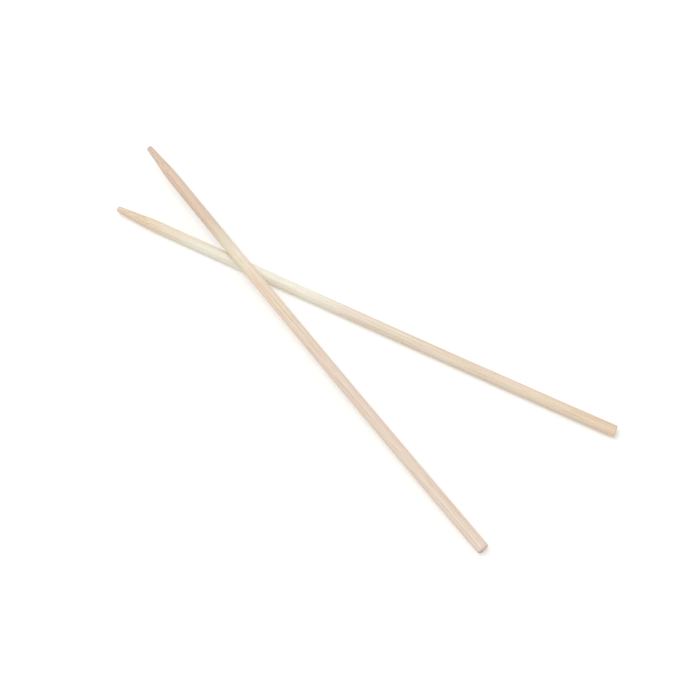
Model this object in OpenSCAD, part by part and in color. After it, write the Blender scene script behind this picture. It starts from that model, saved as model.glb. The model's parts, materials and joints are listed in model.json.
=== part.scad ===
// A pair of round bamboo chopsticks lying crossed on a table.
// The lower stick lies flat. The upper stick leans on it near the tips and stands on the rim of its butt.
// Lengths are in millimetres. +X runs from the tip of the lower stick to its butt and +Z is up.
// The origin is under the middle of the pair, at table level.

/* [Stick] */
// Length of each stick, from the butt to the end of the tip
stick_length = 230; // [180:1:270]
// Diameter of the round shank
shank_d = 4.8; // [4:0.1:8]
// Diameter that the ground taper comes down to at the tip
tip_d = 2.5; // [1.6:0.1:3.8]
// Length of the taper, from the end of the tip to the corner where its cone meets the shank
taper_length = 17.6; // [10:0.1:45]
// Length over which that corner is rounded off
shoulder_length = 6; // [2:0.5:12]
// Radius of the rounded edge at the tip
tip_edge_r = 0.5; // [0.1:0.05:0.7]
// Radius of the broken edge around the sawn butt
butt_edge_r = 0.3; // [0.1:0.05:0.8]

/* [Crossing] */
// Angle between the two sticks, seen from above
cross_angle = 25.6; // [15:0.1:90]
// Distance from the tip of the lower stick to the crossing
lower_cross_from_tip = 60.6; // [50:0.1:120]
// Distance from the tip of the upper stick to the crossing
upper_cross_from_tip = 69.3; // [50:0.1:85]
// Air between the two sticks where they cross
contact_gap = 0.02; // [0.01:0.01:0.1]

/* [Hidden] */

lower_colour = "#EBDDC7";
upper_colour = "#E9D5C1";

round_sides = 96;
shoulder_steps = 6;
edge_steps = 5;

shank_r = shank_d / 2;
tip_r = tip_d / 2;

// The taper is a cone, and taper_angle is the angle between its side and the stick's axis.
taper_angle = atan((shank_r - tip_r) / taper_length);

// The shoulder is an arc that leaves the shank at a tangent and joins the cone at a tangent.
shoulder_r = shoulder_length / 2 / tan(taper_angle / 2);
shoulder_centre = [shank_r - shoulder_r, stick_length - taper_length - shoulder_length / 2];

// The tip's rounded edge is an arc that is tangent to the cone and to the end plane.
tip_edge_centre = [
    tip_r + tip_edge_r * tan(taper_angle) - tip_edge_r / cos(taper_angle),
    stick_length - tip_edge_r
];

// The butt's broken edge is a quarter arc.
butt_edge_centre = [shank_r - butt_edge_r, butt_edge_r];

// Points along an arc, from one angle to another.
function arc(centre, radius, from, to, steps) = [
    for (i = [0 : steps])
        let (a = from + (to - from) * i / steps)
            centre + radius * [cos(a), sin(a)]
];

// Height of the upper stick's axis straight above the crossing, when that stick is tilted.
// The two shanks are then contact_gap apart at their nearest points.
function axis_height(tilt) =
    shank_r + (shank_d + contact_gap) * sqrt(1 + pow(tan(tilt) / sin(cross_angle), 2));

// Distance along the upper stick from the crossing to the ring that its butt edge is rounded about.
butt_reach = stick_length - upper_cross_from_tip - butt_edge_r;

// Tilt that brings the upper stick's butt edge down to the table, by repeated substitution.
function settle(tilt, rounds) =
    rounds == 0 ? tilt : settle(
        asin((axis_height(tilt) - butt_edge_r - butt_edge_centre.x * cos(tilt)) / butt_reach),
        rounds - 1
    );
upper_tilt = settle(0, 12);

// The upper stick's axis: a point above the crossing and the direction from its tip to its butt.
crossing = [lower_cross_from_tip, 0, axis_height(upper_tilt)];
upper_dir = [
    cos(upper_tilt) * cos(cross_angle),
    -cos(upper_tilt) * sin(cross_angle),
    -sin(upper_tilt)
];
upper_butt = crossing + (stick_length - upper_cross_from_tip) * upper_dir;

// How far the rounded edge of an end reaches past the middle of its ring, along X and along Y.
function edge_reach(ring_r, edge_r) = [
    for (i = [0, 1]) edge_r + ring_r * sqrt(1 - pow(upper_dir[i], 2))
];
tip_ring = crossing - (upper_cross_from_tip - tip_edge_r) * upper_dir;
butt_ring = crossing + butt_reach * upper_dir;
tip_reach = edge_reach(tip_edge_centre.x, tip_edge_r);
butt_side_reach = edge_reach(butt_edge_centre.x, butt_edge_r);

// The pair's outline seen from above, with the lower stick's tip at X = 0 and its axis at Y = 0.
x_min = min(0, tip_ring.x - tip_reach.x);
x_max = max(stick_length, butt_ring.x + butt_side_reach.x);
y_min = min(-shank_r, butt_ring.y - butt_side_reach.y);
y_max = max(shank_r, tip_ring.y + tip_reach.y);
middle = [(x_min + x_max) / 2, (y_min + y_max) / 2, 0];

// One stick, standing on its butt with its tip up: half of its section, turned about its axis.
module stick() {
    rotate_extrude($fn = round_sides)
        polygon(concat(
            [[0, 0]],
            arc(butt_edge_centre, butt_edge_r, -90, 0, edge_steps),
            arc(shoulder_centre, shoulder_r, 0, taper_angle, shoulder_steps),
            arc(tip_edge_centre, tip_edge_r, taper_angle, 90, edge_steps),
            [[0, stick_length]]
        ));
}

module lower_chopstick() {
    color(lower_colour)
        translate([stick_length, 0, shank_r] - middle)
            rotate([0, -90, 0])
                stick();
}

module upper_chopstick() {
    color(upper_colour)
        translate(upper_butt - middle)
            rotate([0, upper_tilt - 90, -cross_angle])
                stick();
}

lower_chopstick();
upper_chopstick();
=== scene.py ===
# %% [markdown]
# # A crossed pair of bamboo chopsticks
#
# Two round sticks of pale bamboo lie crossed on a white table. The packed solids already have their
# real size and place, so this lesson dresses them. Each stick is turned again as a fine mesh, with the
# small faults that a cheap ground stick has. Its bamboo runs right through it, so that the shank, the
# ground tip and the sawn butt all show the same fibres, cut in different ways.

# %% Load the frame
import json
import math

import bpy
import numpy as np
from mathutils import Matrix, Vector


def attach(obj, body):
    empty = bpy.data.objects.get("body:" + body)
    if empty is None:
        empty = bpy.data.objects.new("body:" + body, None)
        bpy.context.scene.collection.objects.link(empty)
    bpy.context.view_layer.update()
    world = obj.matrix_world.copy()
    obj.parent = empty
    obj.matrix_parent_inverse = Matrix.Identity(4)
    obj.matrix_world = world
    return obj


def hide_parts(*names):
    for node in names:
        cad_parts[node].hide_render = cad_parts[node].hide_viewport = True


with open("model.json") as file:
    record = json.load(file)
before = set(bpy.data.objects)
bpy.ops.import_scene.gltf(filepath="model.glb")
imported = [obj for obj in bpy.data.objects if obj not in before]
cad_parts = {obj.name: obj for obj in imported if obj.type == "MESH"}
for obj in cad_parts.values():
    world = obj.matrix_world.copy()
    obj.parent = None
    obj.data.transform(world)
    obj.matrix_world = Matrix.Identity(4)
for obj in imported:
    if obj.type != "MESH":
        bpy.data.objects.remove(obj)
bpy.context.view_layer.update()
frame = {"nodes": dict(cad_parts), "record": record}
MM = 0.001

# %% [markdown]
# ## Measure the solids
#
# A real stick is one straight rod with a taper at one end. Its sizes could be written here again, but
# a changed solid would then leave the dressed stick behind, so they are measured. The record's mounts
# give the middle of each sawn butt and the way it faces, so every point of a solid can be split into a
# run along the stick and a distance from its axis. Past the shank, the widest step from one ring of
# points to the next lies on the straight cone of the taper, whose slope gives its radius at the end of
# the tip. The tip's flat then gives the radius of the rounded edge around it.

# %% Measure each stick
STICKS = ("lower", "upper")
# Lengths that differ by less than this count as the same.
SAME_LENGTH = 0.002 * MM
mounts = {mount["name"]: mount for mount in frame["record"]["mounts"]}


def measure(stick):
    """The place, the direction and the sizes of one solid stick, in metres."""
    mount = mounts[stick + "_butt_face"]
    butt = np.array(mount["pos_m"])
    to_tip = -np.array(mount["axis"]) / np.linalg.norm(mount["axis"])
    points = np.array([v.co for v in frame["nodes"][stick + "_chopstick"].data.vertices]) - butt
    points = points[np.argsort(points @ to_tip)]
    run = points @ to_tip
    out = np.linalg.norm(points - np.outer(run, to_tip), axis=1)
    shank = run[out > out.max() - SAME_LENGTH]
    tip_flat = out[run > run.max() - SAME_LENGTH].max()

    past_shank = run > shank.max()
    widest = np.diff(run[past_shank]).argmax()
    step_run = run[past_shank][widest : widest + 2]
    step_out = out[past_shank][widest : widest + 2]
    slope = (step_out[0] - step_out[1]) / (step_run[1] - step_run[0])
    tip_radius = step_out[1] - slope * (run.max() - step_run[1])
    # A round edge that touches the cone and the end plane takes this share of its radius off the tip.
    edge_share = math.hypot(1, slope) - slope
    return {
        "butt": Vector(butt),
        "to_tip": Vector(to_tip),
        "length": float(run.max()),
        "shank_radius": float(out.max()),
        "butt_edge": float(shank.min()),
        "taper_length": float((out.max() - tip_radius) / slope),
        "tip_radius": float(tip_radius),
        "tip_edge": float((tip_radius - tip_flat) / edge_share),
    }


sizes = {stick: measure(stick) for stick in STICKS}
for stick, found in sizes.items():
    print(stick, {k: round(v / MM, 3) for k, v in found.items() if isinstance(v, float)})

# %% [markdown]
# ## One helper for every node
#
# Geometry and materials below are both node trees. One small function adds a node, sets its properties
# and fills its inputs. An input takes a plain value, a socket to link from, or a whole node, which
# stands for the first output that the node shows.

# %% Add a node
def add(tree, kind, inputs=None, **settings):
    """Add one node to a tree, set its properties, fill or link its inputs, and return it."""
    made = tree.nodes.new(kind)
    for name, value in settings.items():
        setattr(made, name, value)
    shown = [socket for socket in made.inputs if socket.enabled]
    for key, value in (inputs or {}).items():
        socket = shown[key] if isinstance(key, int) else next(s for s in shown if s.name == key)
        if isinstance(value, bpy.types.Node):
            value = next(s for s in value.outputs if s.enabled)
        if isinstance(value, bpy.types.NodeSocket):
            tree.links.new(value, socket)
        else:
            socket.default_value = value
    return made


print("helper for nodes:", add.__doc__)

# %% [markdown]
# ## The turned stick as a node tree
#
# The factory splits a bamboo wall into splints, grinds them round, grinds a taper on one end and saws
# them to length. A lathe could be copied by spinning an outline, but the rings would then sit where the
# outline has points. Here a flat grid is rolled into a stick instead: its columns go around, its rows
# run from the middle of the butt to the middle of the tip, and a formula gives each row its height and
# radius. Rows crowd together at both ends, where the small edges are, because their heights follow a
# cosine.

# %% Name the tree's inputs
stick_tree = bpy.data.node_groups.new("turned_bamboo_stick", "GeometryNodeTree")
INPUT_KINDS = {
    "Length": "Float",
    "Shank radius": "Float",
    "Tip radius": "Float",
    "Taper length": "Float",
    "Shoulder": "Float",
    "Butt edge": "Float",
    "Tip edge": "Float",
    "Butt slant": "Float",
    "Points around": "Int",
    "Rings along": "Int",
    "Rings across an end": "Int",
    "Out of round": "Float",
    "Fibre ridges": "Float",
    "Torn fibres": "Float",
    "Saw marks": "Float",
    "Bow": "Float",
    "Bow lean": "Float",
    "Seed": "Float",
    "Butt place": "Vector",
    "Turn": "Rotation",
    "Bamboo": "Material",
}
stick_inputs = {}
for name, kind in INPUT_KINDS.items():
    named = stick_tree.interface.new_socket(name, in_out="INPUT", socket_type="NodeSocket" + kind)
    stick_inputs[name] = named.identifier
stick_tree.interface.new_socket("Stick", in_out="OUTPUT", socket_type="NodeSocketGeometry")
given = add(stick_tree, "NodeGroupInput").outputs
print("tree inputs:", len(stick_inputs))

# %% Lay out the grid's columns and rows
# The sheet is one unit wide and one long, with its middle at the origin.
end_rings = given["Rings across an end"]
rows = add(
    stick_tree,
    "ShaderNodeMath",
    {0: end_rings, 1: 2.0, 2: given["Rings along"]},
    operation="MULTIPLY_ADD",
)
row_count = add(stick_tree, "ShaderNodeMath", {0: rows, 1: 1.0}, operation="ADD")
column_count = add(stick_tree, "ShaderNodeMath", {0: given["Points around"], 1: 1.0}, operation="ADD")
sheet = add(
    stick_tree,
    "GeometryNodeMeshGrid",
    {"Size X": 1.0, "Size Y": 1.0, "Vertices X": column_count, "Vertices Y": row_count},
)
flat = add(stick_tree, "ShaderNodeSeparateXYZ", {0: add(stick_tree, "GeometryNodeInputPosition")})
angle = add(stick_tree, "ShaderNodeMath", {0: flat.outputs["X"], 1: math.tau}, operation="MULTIPLY")
row = add(
    stick_tree,
    "ShaderNodeMapRange",
    {"Value": flat.outputs["Y"], "From Min": -0.5, "From Max": 0.5, "To Min": 0.0, "To Max": rows},
)
print("nodes for the grid:", len(stick_tree.nodes))

# %% Give the grid a map
# Flat places for each face, so that the finish can be painted on the stick: its length is cut into
# strips that lie one above the other. A face is in the strip that holds its middle.
STRIPS = 3
# Free space around each strip, as a share of its length and of its width.
STRIP_EDGE = 0.015
# The name of the map.
MAP_NAME = "OFBake"
strip_rows = add(stick_tree, "ShaderNodeMath", {0: rows, 1: float(STRIPS)}, operation="DIVIDE")
face_row = add(stick_tree, "GeometryNodeFieldOnDomain", {0: row}, domain="FACE", data_type="FLOAT")
strips_below = add(stick_tree, "ShaderNodeMath", {0: face_row, 1: strip_rows}, operation="DIVIDE")
strip = add(stick_tree, "ShaderNodeMath", {0: strips_below}, operation="FLOOR")
first_row = add(stick_tree, "ShaderNodeMath", {0: strip, 1: strip_rows}, operation="MULTIPLY")
strip_row = add(stick_tree, "ShaderNodeMath", {0: row, 1: first_row}, operation="SUBTRACT")
map_x = add(
    stick_tree,
    "ShaderNodeMapRange",
    {"Value": strip_row, "From Max": strip_rows, "To Min": STRIP_EDGE, "To Max": 1 - STRIP_EDGE},
)
in_strip = add(
    stick_tree,
    "ShaderNodeMapRange",
    {
        "Value": flat.outputs["X"],
        "From Min": -0.5,
        "From Max": 0.5,
        "To Min": STRIP_EDGE,
        "To Max": 1 - STRIP_EDGE,
    },
)
stacked = add(stick_tree, "ShaderNodeMath", {0: strip, 1: in_strip}, operation="ADD")
map_y = add(stick_tree, "ShaderNodeMath", {0: stacked, 1: float(STRIPS)}, operation="DIVIDE")
sheet = add(
    stick_tree,
    "GeometryNodeStoreNamedAttribute",
    {
        "Geometry": sheet,
        "Name": MAP_NAME,
        "Value": add(stick_tree, "ShaderNodeCombineXYZ", {"X": map_x, "Y": map_y}),
    },
    data_type="FLOAT2",
    domain="CORNER",
)
print("strips in the map:", STRIPS)

# %% Give each row its height above the butt
last_side_ring = add(stick_tree, "ShaderNodeMath", {0: rows, 1: end_rings}, operation="SUBTRACT")
swing = add(
    stick_tree,
    "ShaderNodeMapRange",
    {"Value": row, "From Min": end_rings, "From Max": last_side_ring, "To Min": 0.0, "To Max": math.pi},
)
height = add(
    stick_tree,
    "ShaderNodeMapRange",
    {
        "Value": add(stick_tree, "ShaderNodeMath", {0: swing}, operation="COSINE"),
        "From Min": 1.0,
        "From Max": -1.0,
        "To Min": 0.0,
        "To Max": given["Length"],
    },
)
from_tip = add(stick_tree, "ShaderNodeMath", {0: given["Length"], 1: height}, operation="SUBTRACT")
print("nodes up to the heights:", len(stick_tree.nodes))

# %% Give each row its radius
# The taper is a straight cone, and a smooth minimum rounds the corner where it meets the shank.
cone_fall = add(
    stick_tree,
    "ShaderNodeMath",
    {0: given["Shank radius"], 1: given["Tip radius"]},
    operation="SUBTRACT",
)
slope = add(stick_tree, "ShaderNodeMath", {0: cone_fall, 1: given["Taper length"]}, operation="DIVIDE")
cone = add(
    stick_tree,
    "ShaderNodeMath",
    {0: from_tip, 1: slope, 2: given["Tip radius"]},
    operation="MULTIPLY_ADD",
)
radius = add(
    stick_tree,
    "ShaderNodeMath",
    {0: cone, 1: given["Shank radius"], 2: given["Shoulder"]},
    operation="SMOOTH_MIN",
)
# A quarter circle rounds the edge at each end: within the edge's radius of the end, the side draws in.
for edge, inside in ((given["Butt edge"], height), (given["Tip edge"], from_tip)):
    corner = add(
        stick_tree,
        "ShaderNodeMapRange",
        {"Value": inside, "From Min": 0.0, "From Max": edge, "To Min": 1.0, "To Max": 0.0},
    )
    squared = add(stick_tree, "ShaderNodeMath", {0: corner, 1: 2.0}, operation="POWER")
    kept = add(stick_tree, "ShaderNodeMath", {0: 1.0, 1: squared}, operation="SUBTRACT")
    rounding = add(stick_tree, "ShaderNodeMath", {0: kept, 1: 0.5}, operation="POWER")
    cut_back = add(stick_tree, "ShaderNodeMath", {0: radius, 1: edge}, operation="SUBTRACT")
    radius = add(
        stick_tree, "ShaderNodeMath", {0: edge, 1: rounding, 2: cut_back}, operation="MULTIPLY_ADD"
    )
print("nodes up to the radii:", len(stick_tree.nodes))

# %% Close the two ends and roll the grid up
# The rows at each end shrink to a point in its middle, so that the end is a closed disc of rings.
from_last_row = add(stick_tree, "ShaderNodeMath", {0: rows, 1: row}, operation="SUBTRACT")
from_end_row = add(stick_tree, "ShaderNodeMath", {0: row, 1: from_last_row}, operation="MINIMUM")
across_end = add(
    stick_tree,
    "ShaderNodeMapRange",
    {"Value": from_end_row, "From Min": 0.0, "From Max": end_rings, "To Min": 0.0, "To Max": 1.0},
)
ring_radius = add(stick_tree, "ShaderNodeMath", {0: radius, 1: across_end}, operation="MULTIPLY")
spoke = add(stick_tree, "ShaderNodeCombineXYZ", {"X": ring_radius, "Z": height})
rolled = add(
    stick_tree, "ShaderNodeVectorRotate", {"Vector": spoke, "Angle": angle}, rotation_type="Z_AXIS"
)
print("nodes up to the roll:", len(stick_tree.nodes))

# %% [markdown]
# ## The slant of the saw cut
#
# A cheap stick's saw cut can be a few degrees out of square. The mesh could be cut by a slanted plane,
# but that would leave thin slivers along the cut. Instead the points near the butt slide along the
# stick, forward on one side and back on the other, and less and less until they are clear of the end.

# %% Slant the butt and weld the mesh
# The slant dies away over this length from the butt.
SLANT_REACH = 5 * MM
to_side = add(stick_tree, "ShaderNodeSeparateXYZ", {0: rolled}).outputs["Y"]
side_share = add(
    stick_tree, "ShaderNodeMath", {0: to_side, 1: given["Shank radius"]}, operation="DIVIDE"
)
slant_here = add(
    stick_tree,
    "ShaderNodeMapRange",
    {"Value": height, "From Max": SLANT_REACH, "To Min": given["Butt slant"], "To Max": 0.0},
)
slide = add(stick_tree, "ShaderNodeMath", {0: side_share, 1: slant_here}, operation="MULTIPLY")
tube = add(
    stick_tree,
    "GeometryNodeSetPosition",
    {
        "Geometry": sheet,
        "Position": rolled,
        "Offset": add(stick_tree, "ShaderNodeCombineXYZ", {"Z": slide}),
    },
)
# The rolled sheet's first and last columns lie on each other, and so do the points of each end row.
WELD = 0.001 * MM
stick_mesh = add(stick_tree, "GeometryNodeMergeByDistance", {"Geometry": tube, "Distance": WELD})
print("nodes up to the weld:", len(stick_tree.nodes))

# %% [markdown]
# ## The faults of a ground stick
#
# A ground splint is never quite round, its fibres stand as low ridges, and here and there a fibre has
# torn out and left a short dent. Bump in the finish could feign them, but it would leave the outline
# and the exported mesh smooth, so the points themselves move. Each fault is noise that is short across
# the fibres and long along them. The saw's scratches on the ends are noise that is long from side to
# side, so one loop makes all four. The surface only ever sinks, so that a stick cuts into neither the
# table nor the other stick.

# %% Note where the fibres are cut across
# This is 0 on the shank and about 1 on the two ends, where the surface faces along the stick.
normal = add(stick_tree, "GeometryNodeInputNormal")
facing = add(stick_tree, "ShaderNodeSeparateXYZ", {0: normal})
across_grain = add(stick_tree, "ShaderNodeMath", {0: facing.outputs["Z"]}, operation="ABSOLUTE")
stick_mesh = add(
    stick_tree,
    "GeometryNodeStoreNamedAttribute",
    {"Geometry": stick_mesh, "Name": "across_grain", "Value": across_grain},
    data_type="FLOAT",
    domain="POINT",
)
print("nodes up to the cut fibres:", len(stick_tree.nodes))

# %% Sink the surface
# For each fault: its size in millimetres from top to bottom, from side to side and along the stick,
# and the noise levels where it starts and is deepest.
FAULTS = {
    "Out of round": ((3.5, 3.5, 90.0), 0.3, 0.7),
    "Fibre ridges": ((0.45, 0.45, 30.0), 0.3, 0.7),
    "Torn fibres": ((0.5, 0.5, 5.0), 0.66, 0.8),
    "Saw marks": ((0.22, 9.0, 50.0), 0.4, 0.6),
}
# Octaves that each fault's noise adds to its first one.
FAULT_OCTAVES = 1.0
place = add(stick_tree, "GeometryNodeInputPosition")
for fault, (size, starts, deepest) in FAULTS.items():
    stretched = add(
        stick_tree,
        "ShaderNodeVectorMath",
        {0: place, 1: [1 / (side * MM) for side in size]},
        operation="MULTIPLY",
    )
    level = add(
        stick_tree,
        "ShaderNodeTexNoise",
        {"Vector": stretched, "W": given["Seed"], "Scale": 1.0, "Detail": FAULT_OCTAVES},
        noise_dimensions="4D",
    )
    depth = add(
        stick_tree,
        "ShaderNodeMapRange",
        {"Value": level, "From Min": starts, "From Max": deepest, "To Min": 0.0, "To Max": given[fault]},
        interpolation_type="SMOOTHSTEP",
    )
    if fault == "Saw marks":
        depth = add(stick_tree, "ShaderNodeMath", {0: depth, 1: across_grain}, operation="MULTIPLY")
    inwards = add(stick_tree, "ShaderNodeMath", {0: depth, 1: -1.0}, operation="MULTIPLY")
    sink = add(stick_tree, "ShaderNodeVectorMath", {0: normal, "Scale": inwards}, operation="SCALE")
    stick_mesh = add(stick_tree, "GeometryNodeSetPosition", {"Geometry": stick_mesh, "Offset": sink})
print("faults:", list(FAULTS))

# %% [markdown]
# ## Remember where the fibres are, bow the stick and lay it down
#
# The bamboo pattern has to follow the fibres. Object coordinates would run straight through a bowed
# stick, so each point stores its place in the straight one, in millimetres, before anything is bent.
# Then the stick bows a little sideways, as bamboo does when it dries, and moves to its place in the
# pair. The object itself stays at the origin: its place is in its mesh.

# %% Store the place of each point
in_culm = add(stick_tree, "ShaderNodeVectorMath", {0: place, "Scale": 1 / MM}, operation="SCALE")
stick_mesh = add(
    stick_tree,
    "GeometryNodeStoreNamedAttribute",
    {"Geometry": stick_mesh, "Name": "culm", "Value": in_culm},
    data_type="FLOAT_VECTOR",
    domain="POINT",
)
print("nodes up to the stored places:", len(stick_tree.nodes))

# %% Bow the stick
# A share of the length times the rest is an arch: 0 at both ends and a quarter in the middle.
QUARTERS = 4.0
up_stick = add(stick_tree, "ShaderNodeSeparateXYZ", {0: place})
share = add(
    stick_tree, "ShaderNodeMath", {0: up_stick.outputs["Z"], 1: given["Length"]}, operation="DIVIDE"
)
rest_share = add(stick_tree, "ShaderNodeMath", {0: 1.0, 1: share}, operation="SUBTRACT")
arch = add(stick_tree, "ShaderNodeMath", {0: share, 1: rest_share}, operation="MULTIPLY")
past_middle = add(stick_tree, "ShaderNodeMath", {0: share, 1: 0.5}, operation="SUBTRACT")
leaning_bow = add(
    stick_tree,
    "ShaderNodeMath",
    {0: past_middle, 1: given["Bow lean"], 2: given["Bow"]},
    operation="MULTIPLY_ADD",
)
full_bow = add(stick_tree, "ShaderNodeMath", {0: leaning_bow, 1: QUARTERS}, operation="MULTIPLY")
sideways = add(stick_tree, "ShaderNodeMath", {0: arch, 1: full_bow}, operation="MULTIPLY")
shift = add(stick_tree, "ShaderNodeCombineXYZ", {"Y": sideways})
stick_mesh = add(stick_tree, "GeometryNodeSetPosition", {"Geometry": stick_mesh, "Offset": shift})
print("nodes up to the bow:", len(stick_tree.nodes))

# %% Lay the stick in its place
stick_mesh = add(
    stick_tree,
    "GeometryNodeTransform",
    {"Geometry": stick_mesh, "Translation": given["Butt place"], "Rotation": given["Turn"]},
)
stick_mesh = add(stick_tree, "GeometryNodeSetShadeSmooth", {"Geometry": stick_mesh})
stick_mesh = add(stick_tree, "GeometryNodeRealizeInstances", {"Geometry": stick_mesh})
stick_mesh = add(
    stick_tree, "GeometryNodeSetMaterial", {"Geometry": stick_mesh, "Material": given["Bamboo"]}
)
add(stick_tree, "NodeGroupOutput", {0: stick_mesh})
print("nodes in the stick tree:", len(stick_tree.nodes))

# %% [markdown]
# ## Bamboo that goes right through
#
# Bamboo is a pale, soft ground tissue with darker bundles of fibre running straight up through it, and
# the bundles take up more of it towards the rind. Wood could be painted on with stretched noise, but the
# sawn butt would then show streaks where it should show dots. So the bundles are a flat pattern of cells
# seen from the end, which the stored place carries along the whole stick: dots on the butt, long streaks
# on the shank and short pointed ones on the ground tip. Finer grain is noise that is long along the
# fibres.

# %% Turn hex values into colours
def colour(code):
    """An sRGB hex value as linear red, green, blue and alpha."""
    parts = [int(code[i : i + 2], 16) / 255 for i in (1, 3, 5)]
    linear = [c / 12.92 if c <= 0.04045 else ((c + 0.055) / 1.055) ** 2.4 for c in parts]
    return (*linear, 1.0)


print("middle grey is linear", [round(c, 3) for c in colour("#808080")])

# %% Let the fibres wander
# How far the bundles wander sideways in millimetres, and the lengths over which they do it.
WANDER = 1.2
WANDER_ACROSS = 6.0
WANDER_ALONG = 60.0
# The noise runs from 0 to 1, and taking off its middle lets the fibres wander both ways.
NOISE_MIDDLE = (0.5, 0.5, 0.5)


def fibre_places(tree, culm, seed):
    """The stored places, shifted so that the fibres wander a little from side to side."""
    slow = (1 / WANDER_ACROSS, 1 / WANDER_ACROSS, 1 / WANDER_ALONG)
    drift_place = add(tree, "ShaderNodeVectorMath", {0: culm, 1: slow}, operation="MULTIPLY")
    drift = add(
        tree,
        "ShaderNodeTexNoise",
        {"Vector": drift_place, "W": seed, "Scale": 1.0, "Detail": 0.0},
        noise_dimensions="4D",
    )
    centred = add(
        tree,
        "ShaderNodeVectorMath",
        {0: drift.outputs["Color"], 1: NOISE_MIDDLE},
        operation="SUBTRACT",
    )
    return add(
        tree,
        "ShaderNodeVectorMath",
        {0: centred, 1: (WANDER, WANDER, 0.0), 2: culm},
        operation="MULTIPLY_ADD",
    )


print("fibres wander in mm:", WANDER, "over", WANDER_ALONG)

# %% Grain as noise
# The size of each noise in millimetres across and along the fibres, and the octaves that it adds.
# Real fibres are 0.02 thick: the finest here are drawn coarser, so that they show in a close view.
GRAIN = {
    "blotches": (3.0, 20.0, 1.0),
    "streaks": (0.5, 40.0, 2.0),
    "fibres": (0.13, 7.0, 2.0),
    "flecks": (0.16, 0.7, 1.0),
}


def grain_layers(tree, fibres, seed):
    """One noise for each size of grain."""
    layers = {}
    for layer, (across, along, octaves) in GRAIN.items():
        stretch = (1 / across, 1 / across, 1 / along)
        here = add(tree, "ShaderNodeVectorMath", {0: fibres, 1: stretch}, operation="MULTIPLY")
        layers[layer] = add(
            tree,
            "ShaderNodeTexNoise",
            {"Vector": here, "W": seed, "Scale": 1.0, "Detail": octaves},
            noise_dimensions="4D",
        )
    return layers


print("grain:", list(GRAIN))

# %% Fibre bundles and their pores
# Spacing of the bundles in millimetres. Real ones stand 0.4 to 1 apart across a splint.
BUNDLE_SPACING = 0.6
# How far the bundles stray from even rows, from 0 to 1.
BUNDLE_SCATTER = 0.7
# How far a bundle reaches from its middle, inside the stick and at the rind, as a share of the spacing.
BUNDLE_REACH = (0.28, 0.38)
# Within this share of its reach a bundle is at its darkest.
BUNDLE_CORE = 0.45
# The palest bundle shows this much, and the darkest all of it. The palest pore does not show.
PALEST_BUNDLE = 0.4
PALEST_PORE = 0.0
# A pore's reach and the core where it is at its darkest, as shares of the spacing too.
PORE_REACH = 0.14
PORE_CORE = 0.05


def bundle_layers(tree, fibres, rind):
    """The fibre bundles, which swell towards the rind, and the pores in the middle of some of them."""
    cells = add(
        tree,
        "ShaderNodeTexVoronoi",
        {"Vector": fibres, "Scale": 1 / BUNDLE_SPACING, "Randomness": BUNDLE_SCATTER},
        voronoi_dimensions="2D",
    ).outputs
    pick = add(tree, "ShaderNodeSeparateColor", {0: cells["Color"]}).outputs
    inner_reach, rind_reach = BUNDLE_REACH
    reach = add(tree, "ShaderNodeMapRange", {"Value": rind, "To Min": inner_reach, "To Max": rind_reach})
    core = add(tree, "ShaderNodeMath", {0: reach, 1: BUNDLE_CORE}, operation="MULTIPLY")
    kinds = (
        ("bundles", reach, core, "Red", PALEST_BUNDLE),
        ("pores", PORE_REACH, PORE_CORE, "Green", PALEST_PORE),
    )
    layers = {}
    for layer, edge, full, chosen, palest in kinds:
        inside = add(
            tree,
            "ShaderNodeMapRange",
            {"Value": cells["Distance"], "From Min": edge, "From Max": full},
            interpolation_type="SMOOTHSTEP",
        )
        shown = add(tree, "ShaderNodeMapRange", {"Value": pick[chosen], "To Min": palest})
        layers[layer] = add(tree, "ShaderNodeMath", {0: inside, 1: shown}, operation="MULTIPLY")
    return layers


print("bundle spacing in mm:", BUNDLE_SPACING)

# %% Choose what each layer does to the tone
# For each layer: places on the layer's scale, and the tint there.
TINTS = {
    "blotches": ((0.34, "#FFFBFA"), (0.66, "#FDFEFA")),
    "streaks": ((0.36, "#F8F4EE"), (0.5, "#FFFFFF")),
    "fibres": ((0.32, "#F1E9DD"), (0.48, "#FFFFFF")),
    "flecks": ((0.32, "#F6F1EA"), (0.46, "#FFFFFF")),
    # The rind side is darker, and as it lies underneath this tint is partly painted shade.
    "rind": ((0.0, "#FFFFFF"), (1.0, "#EDE1D6")),
    "bundles": ((0.0, "#FFFFFF"), (1.0, "#F4EADC")),
    "pores": ((0.0, "#FFFFFF"), (1.0, "#DCC7AC")),
    "end grain": ((0.5, "#FFFFFF"), (0.95, "#FFFCFB")),
    # A darker band along the bottom of each sawn end, partly rind and partly painted shade.
    "sawn rind": ((0.0, "#FFFFFF"), (0.9, "#CBB9B4")),
    "sawn bundles": ((0.0, "#FFFFFF"), (0.9, "#E9DBCB")),
}
print("tinted layers:", list(TINTS))

# %% The bamboo material
# How far out towards the rind the bamboo starts to darken, as a share of the stick's radius. The rind
# side lies underneath, so this darkening is partly painted shade.
RIND_AND_SHADE_STARTS = 0.15
# Noise levels of the fibres between which the roughness changes, and the roughness at each.
FIBRE_LEVELS = (0.3, 0.7)
ROUGHNESS = (0.74, 0.6)
# Dry, unsealed bamboo shines less than a varnished surface.
SPECULAR = 0.3
# Fibres and bundles stand a little proud, and pores are open.
RELIEF_HEIGHT = 0.03 * MM
RELIEF_STRENGTH = 0.5


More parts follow.
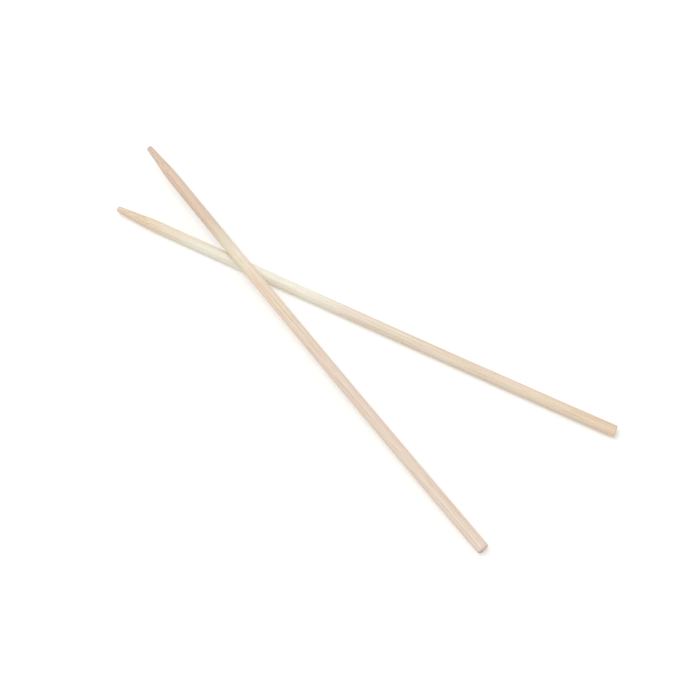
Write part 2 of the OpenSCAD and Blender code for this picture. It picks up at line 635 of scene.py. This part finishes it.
def bamboo(name, tones, rind_and_shade_side, seed, size):
    """Ground bamboo, unsealed: a matt, pale surface with soft lengthwise streaks and dotted ends."""
    material = bpy.data.materials.new(name)
    material.use_nodes = True
    tree = material.node_tree
    shader = tree.nodes["Principled BSDF"]
    culm = add(tree, "ShaderNodeAttribute", attribute_name="culm").outputs["Vector"]
    cut = add(tree, "ShaderNodeAttribute", attribute_name="across_grain").outputs["Fac"]
    fibres = fibre_places(tree, culm, seed)

    along = add(tree, "ShaderNodeSeparateXYZ", {0: culm}).outputs["Z"]
    along_share = add(tree, "ShaderNodeMath", {0: along, 1: size["length"] / MM}, operation="DIVIDE")
    stick_radius = size["shank_radius"] / MM
    # Darker towards the rind side, which lies underneath: partly the bamboo's own colour, partly painted
    # shade.
    to_rind_and_shade = add(tree, "ShaderNodeVectorMath", {0: culm, 1: rind_and_shade_side}, operation="DOT_PRODUCT")
    rind = add(
        tree,
        "ShaderNodeMapRange",
        {"Value": to_rind_and_shade, "From Min": RIND_AND_SHADE_STARTS * stick_radius, "From Max": stick_radius},
        interpolation_type="SMOOTHSTEP",
    )
    layers = {
        "tone": along_share,
        **grain_layers(tree, fibres, seed),
        "rind": rind,
        **bundle_layers(tree, fibres, rind),
        "end grain": cut,
    }
    # On the sawn ends the rind side darkens as well: a band at the bottom of each end, partly painted
    # shade.
    for sawn in ("rind", "bundles"):
        layers["sawn " + sawn] = add(
            tree, "ShaderNodeMath", {0: cut, 1: layers[sawn]}, operation="MULTIPLY"
        )
    # The layers' tints are laid over each other like glazes on white: each multiplies those below.
    finished = (1.0, 1.0, 1.0)
    for layer, stops in {"tone": tones, **TINTS}.items():
        ramp = add(tree, "ShaderNodeValToRGB", {0: layers[layer]})
        while len(ramp.color_ramp.elements) < len(stops):
            ramp.color_ramp.elements.new(0.5)
        for stop, (where, code) in zip(ramp.color_ramp.elements, stops):
            stop.position = where
            stop.color = colour(code)
        finished = add(tree, "ShaderNodeVectorMath", {0: finished, 1: ramp}, operation="MULTIPLY")
    tree.links.new(finished.outputs[0], shader.inputs["Base Color"])

    rough = add(
        tree,
        "ShaderNodeMapRange",
        {
            "Value": layers["fibres"],
            "From Min": FIBRE_LEVELS[0],
            "From Max": FIBRE_LEVELS[1],
            "To Min": ROUGHNESS[0],
            "To Max": ROUGHNESS[1],
        },
    )
    tree.links.new(rough.outputs[0], shader.inputs["Roughness"])
    ridges = add(tree, "ShaderNodeMath", {0: layers["fibres"], 1: layers["bundles"]}, operation="ADD")
    relief = add(tree, "ShaderNodeMath", {0: ridges, 1: layers["pores"]}, operation="SUBTRACT")
    bump = add(
        tree,
        "ShaderNodeBump",
        {"Height": relief, "Strength": RELIEF_STRENGTH, "Distance": RELIEF_HEIGHT},
    )
    tree.links.new(bump.outputs[0], shader.inputs["Normal"])
    shader.inputs["Specular IOR Level"].default_value = SPECULAR
    return material


print("bamboo roughness:", ROUGHNESS)

# %% [markdown]
# ## Turn the two sticks
#
# The lower stick is creamier and the upper one pinker, and both are a little peach at the ground tip.
# Each gets its own seed, bow, saw cut and bamboo, and its main sizes from the solid that it stands for.
# One mesh could serve both, but two real sticks never have the same grain. The side of a stick that was
# nearest the rind is darker, and that side is turned to where shade falls, so its darkening is partly
# painted
# shade: it lies underneath on the lower stick, and low on its left side on the upper one.

# %% Make the bamboos
# The colour of the ground tissue along each stick, from 0 at the butt to 1 at the end of the tip.
TONES = {
    "lower": (
        (0.0, "#F0DBC7"),
        (0.25, "#F0E2D1"),
        (0.36, "#F3E8D9"),
        (0.5, "#F1E6D8"),
        (0.6, "#FBFBF1"),
        (0.83, "#F6F5E8"),
        (0.93, "#F4DFC9"),
        (1.0, "#EDDACA"),
    ),
    "upper": (
        (0.0, "#F0E0D5"),
        (0.45, "#EDDDCF"),
        (0.64, "#F5E4D2"),
        (0.7, "#F4EDDB"),
        (0.79, "#E6D3C1"),
        (0.95, "#E7D2C1"),
        (1.0, "#E0CDBF"),
    ),
}
# The way to the darker rind side in a stick's own frame, where X points down and Y to the side. It
# points mostly down, so the darkening there is painted shade as well as rind.
RIND_AND_SHADE_SIDE = {"lower": (1.0, 0.0, 0.0), "upper": (0.85, 0.5, 0.0)}
SEEDS = {"lower": 13.0, "upper": 4.0}
bamboos = {
    stick: bamboo("ground_bamboo_" + stick, TONES[stick], RIND_AND_SHADE_SIDE[stick], SEEDS[stick], sizes[stick])
    for stick in STICKS
}
print("bamboos:", [(m.name, len(m.node_tree.nodes)) for m in bamboos.values()])

# %% Choose the sizes that are not measured
# The taper's corner is rounded where the cone and the shank are less than this apart in radius.
SHOULDER = 0.3 * MM
# How far the saw cut of each butt stands forward on one side and back on the other.
BUTT_SLANT = {"lower": -0.2 * MM, "upper": 0.0}
# How far the middle of each stick stands to one side, and how much the bow grows from butt to tip.
BOW = {"lower": 0.49 * MM, "upper": 0.64 * MM}
BOW_LEAN = {"lower": -0.46 * MM, "upper": 0.13 * MM}
# Fine enough for the fibre ridges to show, with under 200,000 triangles to a stick.
MESH = {"Points around": 192, "Rings along": 324, "Rings across an end": 18}
FAULT_DEPTHS = {
    "Out of round": 0.05 * MM,
    "Fibre ridges": 0.02 * MM,
    "Torn fibres": 0.1 * MM,
    "Saw marks": 0.02 * MM,
}
print("fault depths in mm:", {fault: round(depth / MM, 3) for fault, depth in FAULT_DEPTHS.items()})

# %% Turn and lay down each stick
UP = Vector((0, 0, 1))


def turn_stick(stick):
    """Run the stick tree with one stick's sizes, and keep what it makes as a plain mesh."""
    found = sizes[stick]
    side = UP.cross(found["to_tip"]).normalized()
    turn = Matrix((side.cross(found["to_tip"]), side, found["to_tip"])).transposed().to_euler()
    piece = bpy.data.objects.new(stick + "_bamboo_stick", bpy.data.meshes.new(stick + "_blank"))
    bpy.context.scene.collection.objects.link(piece)
    lathe = piece.modifiers.new("lathe", "NODES")
    lathe.node_group = stick_tree
    values = {
        "Length": found["length"],
        "Shank radius": found["shank_radius"],
        "Tip radius": found["tip_radius"],
        "Taper length": found["taper_length"],
        "Shoulder": SHOULDER,
        "Butt edge": found["butt_edge"],
        "Tip edge": found["tip_edge"],
        "Butt slant": BUTT_SLANT[stick],
        "Bow": BOW[stick],
        "Bow lean": BOW_LEAN[stick],
        "Seed": SEEDS[stick],
        "Butt place": found["butt"],
        "Turn": turn,
        "Bamboo": bamboos[stick],
        **MESH,
        **FAULT_DEPTHS,
    }
    for name, value in values.items():
        lathe[stick_inputs[name]] = value
    graph = bpy.context.evaluated_depsgraph_get()
    made = bpy.data.meshes.new_from_object(
        piece.evaluated_get(graph), preserve_all_data_layers=True, depsgraph=graph
    )
    piece.modifiers.remove(lathe)
    # The grid starts with an empty material slot, which would be one finish too many in the export.
    made.materials.clear()
    made.materials.append(bamboos[stick])
    made.name = piece.name
    piece.data = made
    return piece


pieces = {stick: turn_stick(stick) for stick in STICKS}
for piece in pieces.values():
    print(piece.name, len(piece.data.vertices), "points", len(piece.data.polygons), "faces")

# %% [markdown]
# ## Tie the sticks to the frame
#
# Nothing on this object moves, so both sticks ride on its one body. Each stands for its plain solid,
# which stays hidden behind it for collision.

# %% Ride and replace
for stick, piece in pieces.items():
    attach(piece, "root")
    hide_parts(stick + "_chopstick")
print("pieces tied to the frame:", [piece.name for piece in pieces.values()])

# %% [markdown]
# ## A white table and soft light
#
# The photograph is lit from all round, with a little more light from the left: the upper stick's shadow
# lies to its right where the two cross. An even white sky gives most of the light and one wide lamp the
# rest. Together they light a level surface to just 1, so that a colour renders about as it is written.
# A lamp near the sticks would leave the far table grey, so it is a sun, made as wide as a softbox close
# by. The table is matt white card. What is seen of it is lifted to white by a little glow that lights
# nothing else, so that the shadow stays.

# %% Tell seeing from lighting
SEEN_RAYS = ("Is Camera Ray", "Is Glossy Ray", "Is Transmission Ray")


def seen_directly(tree):
    """1 for rays that show the background to the eye, and 0 for those that light other things."""
    path = add(tree, "ShaderNodeLightPath").outputs
    found = path[SEEN_RAYS[0]]
    for ray in SEEN_RAYS[1:]:
        found = add(tree, "ShaderNodeMath", {0: found, 1: path[ray]}, operation="MAXIMUM")
    return found


print("rays that see:", SEEN_RAYS)

# %% The table
# Wide enough, in metres, to fill the photograph's view.
TABLE_SIDE = 6.0
# Uncoated card scatters light evenly and has no shine, so it needs only a diffuse shader and the glow.
CARD = "#F0F0EE"
CARD_GLOW = 0.22
card = bpy.data.materials.new("matt_white_card")
card.use_nodes = True
card_tree = card.node_tree
card_tree.nodes.clear()
card_matt = add(card_tree, "ShaderNodeBsdfDiffuse", {"Color": colour(CARD)})
card_strength = add(
    card_tree, "ShaderNodeMath", {0: seen_directly(card_tree), 1: CARD_GLOW}, operation="MULTIPLY"
)
card_glow = add(card_tree, "ShaderNodeEmission", {"Strength": card_strength})
card_surface = add(card_tree, "ShaderNodeAddShader", {0: card_matt, 1: card_glow})
add(card_tree, "ShaderNodeOutputMaterial", {"Surface": card_surface})

half = TABLE_SIDE / 2
table_mesh = bpy.data.meshes.new("table")
table_corners = [(-half, -half, 0), (half, -half, 0), (half, half, 0), (-half, half, 0)]
table_mesh.from_pydata(table_corners, [], [(0, 1, 2, 3)])
table_mesh.materials.append(card)
table = bpy.data.objects.new("table", table_mesh)
bpy.context.scene.collection.objects.link(table)
print("table side in m:", TABLE_SIDE)

# %% The sky and the lamp
# The sky's share of the light, and its brightness where it is seen itself.
SKY = 0.72
SEEN_SKY = 1.0
world = bpy.data.worlds.new("white_sky")
bpy.context.scene.world = world
world.use_nodes = True
sky_tree = world.node_tree
sky_tree.nodes.clear()
sky_strength = add(
    sky_tree,
    "ShaderNodeMapRange",
    {"Value": seen_directly(sky_tree), "To Min": SKY, "To Max": SEEN_SKY},
)
sky = add(sky_tree, "ShaderNodeBackground", {"Color": (1, 1, 1, 1), "Strength": sky_strength})
add(sky_tree, "ShaderNodeOutputWorld", {"Surface": sky})

LAMP_SHARE = 1.0 - SKY
LAMP_WIDTH = math.radians(40)
LAMP_SIDE = Vector((-0.4, -0.05, 1.0)).normalized()
lamp_data = bpy.data.lights.new("soft_lamp", "SUN")
lamp_data.angle = LAMP_WIDTH
# A sun of strength 1 lights a white surface that faces it to 1 / pi, and a level one less as it slants.
lamp_data.energy = LAMP_SHARE * math.pi / LAMP_SIDE.z
lamp = bpy.data.objects.new("soft_lamp", lamp_data)
lamp.rotation_euler = (-LAMP_SIDE).to_track_quat("-Z", "Y").to_euler()
bpy.context.scene.collection.objects.link(lamp)
print("lamp strength:", round(lamp_data.energy, 3))

# %% [markdown]
# ## The camera
#
# The photograph looks down on the pair from the side of the butts. The camera's angle, distance and lens
# were found by lining up the edges and ends of both sticks with the photograph.

# %% Set the camera
# The azimuth is 0 in front of the pair and grows towards the butts. The distance is in metres.
CAMERA_AZIMUTH = math.radians(27.77)
CAMERA_ELEVATION = math.radians(59.48)
CAMERA_DISTANCE = 0.6428
CAMERA_TARGET = Vector((5.81 * MM, 5.76 * MM, 0))
LENS_MM = 81.34
SENSOR_MM = 36.0
level_share = math.cos(CAMERA_ELEVATION)
back = Vector(
    (
        math.sin(CAMERA_AZIMUTH) * level_share,
        -math.cos(CAMERA_AZIMUTH) * level_share,
        math.sin(CAMERA_ELEVATION),
    )
)
camera_data = bpy.data.cameras.new("camera")
camera_data.lens = LENS_MM
camera_data.sensor_width = SENSOR_MM
camera = bpy.data.objects.new("camera", camera_data)
camera.location = CAMERA_TARGET + back * CAMERA_DISTANCE
camera.rotation_euler = (-back).to_track_quat("-Z", "Y").to_euler()
bpy.context.scene.collection.objects.link(camera)
bpy.context.scene.camera = camera
bpy.context.scene.view_settings.view_transform = "Standard"
print("camera at", [round(c, 4) for c in camera.location])
